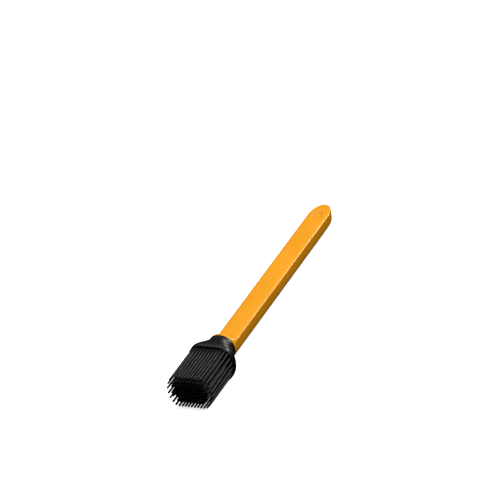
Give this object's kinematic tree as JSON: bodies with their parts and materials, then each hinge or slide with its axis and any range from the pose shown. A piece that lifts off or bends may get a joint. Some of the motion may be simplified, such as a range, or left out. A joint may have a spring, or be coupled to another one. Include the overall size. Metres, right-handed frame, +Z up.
{
  "type": "silicone basting brush",
  "caption": "Basting brush with a flat-topped bar handle that flares to a round collar and a soft push-on head carrying concentric rings of straight flexible bristles.",
  "frame": {"origin": "bottom centre of the bounding box: on the surface the head's rim lies on, under the middle of the length", "axes": "+Y along the handle, away from the bristles; +X across the brush; +Z up, out of the handle's flat top"},
  "size_m": [0.0402, 0.3073, 0.0324],
  "materials": {
    "handle": "smooth satin-gloss orange",
    "tang": "moulded matt",
    "silicone": "smooth satin black"
  },
  "bodies": {
    "handle": {"handle": "handle", "tang": "tang"},
    "head": {"brush_head": "silicone"},
    "row_6": {"bristles_row_6": "silicone"},
    "row_1": {"bristles_row_1": "silicone"},
    "row_2": {"bristles_row_2": "silicone"},
    "row_3": {"bristles_row_3": "silicone"},
    "row_4": {"bristles_row_4": "silicone"},
    "row_5": {"bristles_row_5": "silicone"},
    "row_7": {"bristles_row_7": "silicone"},
    "row_8": {"bristles_row_8": "silicone"},
    "row_9": {"bristles_row_9": "silicone"},
    "row_10": {"bristles_row_10": "silicone"},
    "row_11": {"bristles_row_11": "silicone"}
  },
  "joints": [
    {"name": "head_pull_off", "type": "slide", "parent": "handle", "child": "head", "axis": [0, -1, 0], "range_m": [0, 0.03]},
    {"name": "row_6_bend", "type": "hinge", "parent": "head", "child": "row_6", "pos_m": [0, -0.10955, 0.0162], "axis": [1, 0, 0], "range_deg": [-35, 35], "stiffness_Nm_per_rad": 0.03, "deforming": ["bristles_row_6"]},
    {"name": "row_1_bend", "type": "hinge", "parent": "head", "child": "row_1", "pos_m": [0, -0.10955, 0.0034], "axis": [1, 0, 0], "range_deg": [-35, 35], "stiffness_Nm_per_rad": 0.03, "deforming": ["bristles_row_1"]},
    {"name": "row_2_bend", "type": "hinge", "parent": "head", "child": "row_2", "pos_m": [0, -0.10955, 0.0073], "axis": [1, 0, 0], "range_deg": [-35, 35], "stiffness_Nm_per_rad": 0.03, "deforming": ["bristles_row_2"]},
    {"name": "row_3_bend", "type": "hinge", "parent": "head", "child": "row_3", "pos_m": [0, -0.10955, 0.0103], "axis": [1, 0, 0], "range_deg": [-35, 35], "stiffness_Nm_per_rad": 0.03, "deforming": ["bristles_row_3"]},
    {"name": "row_4_bend", "type": "hinge", "parent": "head", "child": "row_4", "pos_m": [0, -0.10955, 0.0131], "axis": [1, 0, 0], "range_deg": [-35, 35], "stiffness_Nm_per_rad": 0.03, "deforming": ["bristles_row_4"]},
    {"name": "row_5_bend", "type": "hinge", "parent": "head", "child": "row_5", "pos_m": [0, -0.10955, 0.0146], "axis": [1, 0, 0], "range_deg": [-35, 35], "stiffness_Nm_per_rad": 0.03, "deforming": ["bristles_row_5"]},
    {"name": "row_7_bend", "type": "hinge", "parent": "head", "child": "row_7", "pos_m": [0, -0.10955, 0.0178], "axis": [1, 0, 0], "range_deg": [-35, 35], "stiffness_Nm_per_rad": 0.03, "deforming": ["bristles_row_7"]},
    {"name": "row_8_bend", "type": "hinge", "parent": "head", "child": "row_8", "pos_m": [0, -0.10955, 0.0193], "axis": [1, 0, 0], "range_deg": [-35, 35], "stiffness_Nm_per_rad": 0.03, "deforming": ["bristles_row_8"]},
    {"name": "row_9_bend", "type": "hinge", "parent": "head", "child": "row_9", "pos_m": [0, -0.10955, 0.0221], "axis": [1, 0, 0], "range_deg": [-35, 35], "stiffness_Nm_per_rad": 0.03, "deforming": ["bristles_row_9"]},
    {"name": "row_10_bend", "type": "hinge", "parent": "head", "child": "row_10", "pos_m": [0, -0.10955, 0.0251], "axis": [1, 0, 0], "range_deg": [-35, 35], "stiffness_Nm_per_rad": 0.03, "deforming": ["bristles_row_10"]},
    {"name": "row_11_bend", "type": "hinge", "parent": "head", "child": "row_11", "pos_m": [0, -0.10955, 0.029], "axis": [1, 0, 0], "range_deg": [-35, 35], "stiffness_Nm_per_rad": 0.03, "deforming": ["bristles_row_11"]}
  ],
  "couplings": [
    {"joint": "row_1_bend", "follows": "row_6_bend", "ratio": 1},
    {"joint": "row_2_bend", "follows": "row_6_bend", "ratio": 1},
    {"joint": "row_3_bend", "follows": "row_6_bend", "ratio": 1},
    {"joint": "row_4_bend", "follows": "row_6_bend", "ratio": 1},
    {"joint": "row_5_bend", "follows": "row_6_bend", "ratio": 1},
    {"joint": "row_7_bend", "follows": "row_6_bend", "ratio": 1},
    {"joint": "row_8_bend", "follows": "row_6_bend", "ratio": 1},
    {"joint": "row_9_bend", "follows": "row_6_bend", "ratio": 1},
    {"joint": "row_10_bend", "follows": "row_6_bend", "ratio": 1},
    {"joint": "row_11_bend", "follows": "row_6_bend", "ratio": 1}
  ]
}
